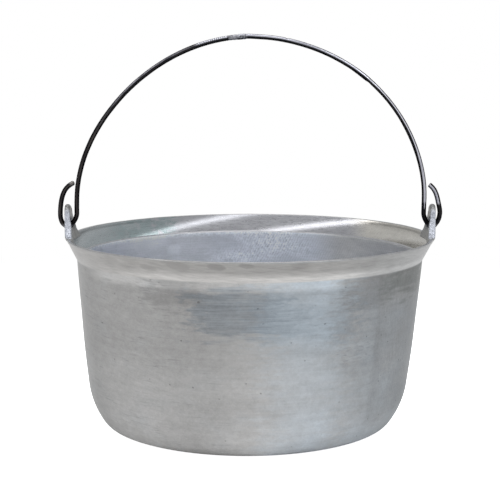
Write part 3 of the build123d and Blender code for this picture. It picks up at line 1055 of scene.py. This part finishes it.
# ================================================================ other metals
def ear_material(side):
    g = Graph("ear_aluminium_" + side)
    g.z = g.z - H       # height above the rim
    x, y, z = g.x, g.y, g.z
    edge, rho = g.attribute("rim"), g.attribute("rho")
    high = z.ramp(-1.5, 1.5)
    skin_noise = g.patches(1.9, 1.9, detail=4, rough=0.65)
    fine = g.patches(0.55, 0.55)
    blot = g.patches(7, 7, detail=2, rough=0.55)
    strip = edge.ramp(-2.2, -0.7) * high            # rough as-cast edge
    face_in = rho.ramp(168.0, 167.0) * (1 - strip)
    face = g.mix(z.ramp(27, 22), display(156, 156, 155), display(186, 189, 197))
    color = g.mix(strip, display(154, 153, 150), face)
    stain = (blot + 0.4 * skin_noise).ramp(-0.1, 0.5) * face_in * z.ramp(6, 20)
    color = g.mix(0.8 * stain, color, display(96, 88, 80))
    color = g.mix(1 - high, color, display(156, 155, 152))
    tone = 1 + 0.17 * skin_noise * (0.3 + strip) + 0.09 * fine + 0.08 * blot
    d, pick = g.cells(g.vector(x / 2.1, y / 2.1, z / 2.1))
    pore = d.ramp(0.34, 0.12) * pick.ramp(0.30, 0.45) * (0.35 + 0.65 * strip)
    color = g.scale_color(color, tone.darken(0.45 * pore))
    # the wire has polished the lip of the hole
    hole = (y * y + (z - EAR_HOLE_Z) * (z - EAR_HOLE_Z) + 1e-4).sqrt()
    worn = hole.ramp(8.6, 7.0)
    color = g.mix(0.5 * worn, color, display(180, 180, 182))
    height = 0.07 * skin_noise * (0.35 + strip) + 0.025 * fine - 0.22 * pore
    rough = 0.46 + 0.08 * skin_noise - 0.14 * worn + 0.05 * strip
    g.set(Base_Color=color, Metallic=1.0, Roughness=rough.clamp(),
          Normal=g.bump(height.darken(0.7 * worn)))
    return g.material


def left_wear_and_highlight(g, m):
    """Painted highlight down the middle of the wire, a little brown, fading in and out, and painted
    highlights on the crests of the twist.
    """
    x, run, out, streak = g.x, m.run, m.out, m.streak
    upper = x.ramp(-150, -112)
    line = (out + 0.10 - 0.62 * upper + (0.25 - 0.15 * upper) * streak).bell(0.0, 0.10, 0.42)
    line = line * (0.26 + 0.34 * upper) * (0.45 + 0.8 * streak.ramp(-0.5, 0.5))
    line = line * run.ramp(30, 60)
    ribs = x.ramp(-54, -46) * x.ramp(-18, -22)
    # colours of the painted highlight: brownish down the leg, grey higher up, near white on the twist
    pale = g.mix(x.ramp(-150, -120), display(106, 98, 93), display(140, 138, 146))
    pale = g.mix(ribs, pale, display(222, 222, 232))
    # painted highlights on the upward crests of the twist
    crest = (run * (2 * math.pi / 1.95) - g.math("ARCTAN2", m.side, out)).sin()
    crest = ribs * (0.35 + 0.65 * crest.ramp(-0.2, 0.8)) * (out + 0.05).ramp(0.0, 0.5) * 0.85
    return SimpleNamespace(
        line=line.max(crest), pale=pale,
        heat=x.ramp(-20.5, -18),
        grey=g.mix(m.fine.ramp(-0.4, 0.5), display(120, 120, 126), display(176, 176, 182)),
        tip=m.rest.ramp(5.5, 2.5),
        fine_tone=0.18, speck_tone=0.10, fine_height=0.02, speck_height=0.01,
    )


def right_wear_and_highlight(g, m):
    """A painted highlight on the outer side, with a hard border."""
    x, z, run, out, draw = g.x, g.z, m.run, m.out, m.draw
    leg = x.ramp(152, 159) * run.ramp(100, 150)
    past = x.ramp(92, 112)          # past the kink
    border = out + 0.04 * m.streak + 0.04 * draw + 0.35 * leg
    top = lerp(past, 0.80, 0.52) + 0.43 * leg
    line = (border - 0.06 * past * (1 - leg)).ramp(0.02, 0.14)
    line = line * (1 - (0.85 + 0.07 * past) * (border - top).ramp(-0.10, 0.10))
    line = line * (0.90 + 0.20 * draw)
    # painted highlight bright along the crown and down the leg, thinner past the kink, and only a
    # thin stripe of it under the ear, the rest dark as painted shade
    low = z.ramp(33, 29) * (run - 271).ramp(18, 0)
    white = (out - 0.15).bell(0.0, 0.06, 0.2) * z.ramp(24, 27)
    line = lerp(low * run.ramp(200, 220), line, white)
    # a fade near the tip, held at no weight, and painted shade on the part in the ear
    line = line * (1 - m.rest.ramp(26, 21) * 0 - z.ramp(31, 28) * run.ramp(262, 268))
    # colours of the painted highlight, brighter past the kink
    pale = g.mix(draw.ramp(-0.5, 0.5), display(176, 176, 186), display(205, 205, 214))
    return SimpleNamespace(
        line=line, pale=g.mix(past * (1 - leg), pale, display(238, 238, 248)),
        heat=x.ramp(-1.5, -3.5) * 0.3,
        grey=display(150, 150, 156),
        tip=m.rest.ramp(0.9, 0.3),
        fine_tone=0.07, speck_tone=0.03, fine_height=0.007, speck_height=0.003,
    )


def wire_material(side, wear_and_highlight):
    """Black wire; the function passed in gives its painted highlight, weld heat and tip."""
    g = Graph("bail_steel_" + side)
    g.z = g.z - H       # height above the rim
    m = SimpleNamespace(out=g.attribute("out"), side=g.attribute("side"),
                        run=g.attribute("run"), rest=g.attribute("left"))

    def wire_patches(length, turn, detail, rough):
        return g.noise(g.vector(m.run / length, m.out * turn, m.side * turn), detail, rough)

    m.streak = streak = wire_patches(14, 1.3, detail=3, rough=0.6)
    m.fine = fine = wire_patches(2.2, 3.0, detail=3, rough=0.6)
    m.draw = wire_patches(40, 7, detail=2, rough=0.6)
    speck = wire_patches(0.9, 4, detail=2, rough=0.5)
    black = g.mix(streak.ramp(-0.3, 0.6), display(30, 30, 33), display(48, 46, 46))
    w = wear_and_highlight(g, m)
    color = g.mix(w.line.clamp(), black, w.pale)
    color = g.mix(w.heat, color, w.grey)
    color = g.mix(0.6 * w.tip, color, display(150, 146, 143))
    color = g.scale_color(color, 1 + w.fine_tone * fine + w.speck_tone * speck)
    # rubbed where it runs in the ear
    rub = (g.z - HINGE).abs().ramp(3.2, 1.2) * m.run.ramp(150, 190)
    color = g.mix(0.55 * rub, color, display(120, 118, 120))
    height = (w.fine_height * fine + 0.008 * m.draw + w.speck_height * speck
              + w.heat * 0.05 * speck)
    rough = 0.30 + 0.07 * streak + 0.06 * fine + 0.15 * w.heat
    g.set(Base_Color=color, Metallic=1.0, Specular_Tint=(0, 0, 0), Roughness=rough.clamp(),
          Normal=g.bump(height))
    return g.material


def weld_material():
    g = Graph("weld_steel_skin")
    out, run = g.attribute("out"), g.attribute("run")
    lump = g.patches(1.6, 1.6)
    fine = g.patches(0.6, 0.6, rough=0.65)
    color = g.mix(lump.ramp(-0.4, 0.5), display(84, 85, 90), display(176, 177, 184))
    # painted highlight on top and painted shade underneath; dark at the right end
    color = g.mix(out.ramp(0.35, 0.8) * 0.7, color, display(205, 205, 212))
    below = out.ramp(0.0, -0.7) * 0.85 * run.ramp(7.0, 4.5)
    color = g.mix(below, color, display(48, 47, 49))
    color = g.mix(run.ramp(7.3, 7.8) * 0.7, color, display(40, 40, 42))
    color = g.scale_color(color, 1 + 0.2 * fine)
    g.set(Base_Color=color, Metallic=1.0, Specular_Tint=(0.3, 0.3, 0.3),
          Roughness=(0.46 + 0.12 * lump).clamp(), Normal=g.bump(0.06 * fine + 0.05 * lump))
    return g.material


def dress(name, material):
    bpy.data.objects[name].data.materials.append(material)


dress("pot_casting", pot_material())
dress("ear_left", ear_material("left"))
dress("ear_right", ear_material("right"))
dress("bail_rod_left", wire_material("left", left_wear_and_highlight))
dress("bail_rod_right", wire_material("right", right_wear_and_highlight))
dress("weld_bead", weld_material())


# ================================================================ stage, light, camera
scene = bpy.context.scene
scene.view_settings.view_transform = "Standard"
scene.view_settings.look = "None"


def build_world():
    """White to the camera, a dimmer cool white as light."""
    world = bpy.data.worlds.new("studio")
    scene.world = world
    world.use_nodes = True
    nodes, links = world.node_tree.nodes, world.node_tree.links
    nodes.clear()
    out = nodes.new("ShaderNodeOutputWorld")
    mix = nodes.new("ShaderNodeMixShader")
    seen, light = nodes.new("ShaderNodeBackground"), nodes.new("ShaderNodeBackground")
    path = nodes.new("ShaderNodeLightPath")
    for background, color, strength in ((seen, (1, 1, 1, 1), 1.0),
                                        (light, (0.97, 0.985, 1.0, 1), 0.72)):
        background.inputs[0].default_value = color
        background.inputs[1].default_value = strength
    links.new(path.outputs["Is Camera Ray"], mix.inputs[0])
    links.new(light.outputs[0], mix.inputs[1])
    links.new(seen.outputs[0], mix.inputs[2])
    links.new(mix.outputs[0], out.inputs[0])


def build_floor():
    """White floor, turning to plain white glow away from the kettle."""
    half = 9000
    corners = [(-half, -half, 0), (half, -half, 0), (half, half, 0), (-half, half, 0)]
    floor = mesh_object("floor", corners, [(0, 1, 2, 3)], shade=False)
    g = Graph("floor_white")
    g.set(Base_Color=(0.93, 0.93, 0.93), Roughness=0.9)
    glow = g.node("ShaderNodeEmission", {"Color": (1, 1, 1)})
    away = (g.x * g.x + (g.y - 0) * (g.y - 0)).sqrt().ramp(260, 1100)
    # to the camera the floor is lifted, so that only the contact shadow is left
    seen = Value(g, g.node("ShaderNodeLightPath").outputs["Is Camera Ray"])
    lift = g.node("ShaderNodeEmission", {"Color": (1, 1, 1), "Strength": seen * 1.0})
    lifted = g.node("ShaderNodeAddShader", {0: g.bsdf.outputs[0], 1: lift.outputs[0]})
    mix = g.node("ShaderNodeMixShader", {0: away, 1: lifted.outputs[0], 2: glow.outputs[0]})
    g.put(g.out.inputs[0], mix.outputs[0])
    floor.data.materials.append(g.material)


def softbox(name, azimuth, elevation, distance, size, power, color=(1, 1, 1)):
    """Area light aimed at the kettle. Azimuth 0 is the camera side, + to the right. Metres."""
    a, e = math.radians(azimuth), math.radians(elevation)
    way = Vector((math.sin(a) * math.cos(e), -math.cos(a) * math.cos(e), math.sin(e)))
    light = bpy.data.lights.new(name, "AREA")
    light.shape = "RECTANGLE"
    light.size, light.size_y = size
    light.energy = power
    light.color = color
    o = link(bpy.data.objects.new(name, light))
    o.location = Vector((0, 0, 0.15)) + way * distance
    o.rotation_mode = "QUATERNION"
    o.rotation_quaternion = way.to_track_quat("Z", "Y")


def build_camera():
    camera = bpy.data.cameras.new("camera")
    camera.sensor_width = 36
    camera.lens = 104.5656
    camera.shift_x = -0.0002
    o = link(bpy.data.objects.new("camera", camera))
    o.location = (0, -1.343, (H + 179.3) * MM)
    o.rotation_euler = (math.radians(90 - 8.188), 0, 0)     # looking 8.188 degrees down
    camera.clip_end = 50
    scene.camera = o


build_world()
build_floor()
softbox("key_right", azimuth=52, elevation=47, distance=2.2, size=(0.55, 0.9), power=5.0,
        color=(0.97, 0.985, 1))
softbox("fill_left", azimuth=-66, elevation=49, distance=2.2, size=(0.50, 0.8), power=5.8)
softbox("top", azimuth=0, elevation=88, distance=2.0, size=(1.2, 1.2), power=10)
build_camera()
